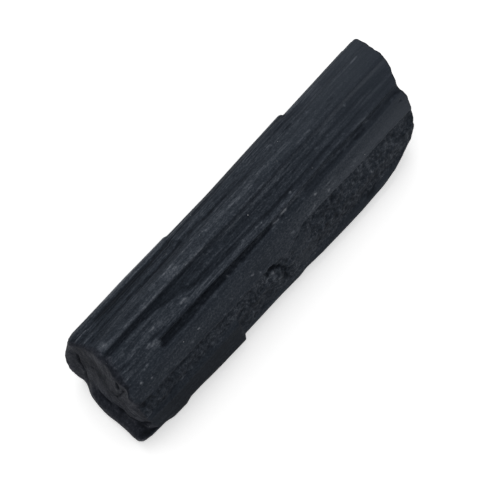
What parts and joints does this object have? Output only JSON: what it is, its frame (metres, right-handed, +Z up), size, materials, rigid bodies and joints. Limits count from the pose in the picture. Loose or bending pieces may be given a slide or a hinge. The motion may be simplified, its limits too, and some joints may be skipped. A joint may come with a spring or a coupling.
{
  "type": "tourmaline crystal",
  "caption": "Rough black tourmaline (schorl) crystal log with lengthwise ribs and grooves, a granular flank and broken ends, lying on a flat prism face.",
  "frame": {"origin": "centre of the bounding box's bottom, on the flat prism face that the crystal lies on", "axes": "+X along the crystal's long axis towards its rounded end, +Y towards its back side, away from the rough granular flank, +Z up"},
  "size_m": [0.0778, 0.0218, 0.0162],
  "materials": {
    "black_tourmaline": "near-black stone, faintly blue, satin on the striated prism faces and matt on the rough flank and the broken ends"
  },
  "bodies": {
    "root": {"tourmaline_crystal": "black_tourmaline"}
  },
  "joints": []
}
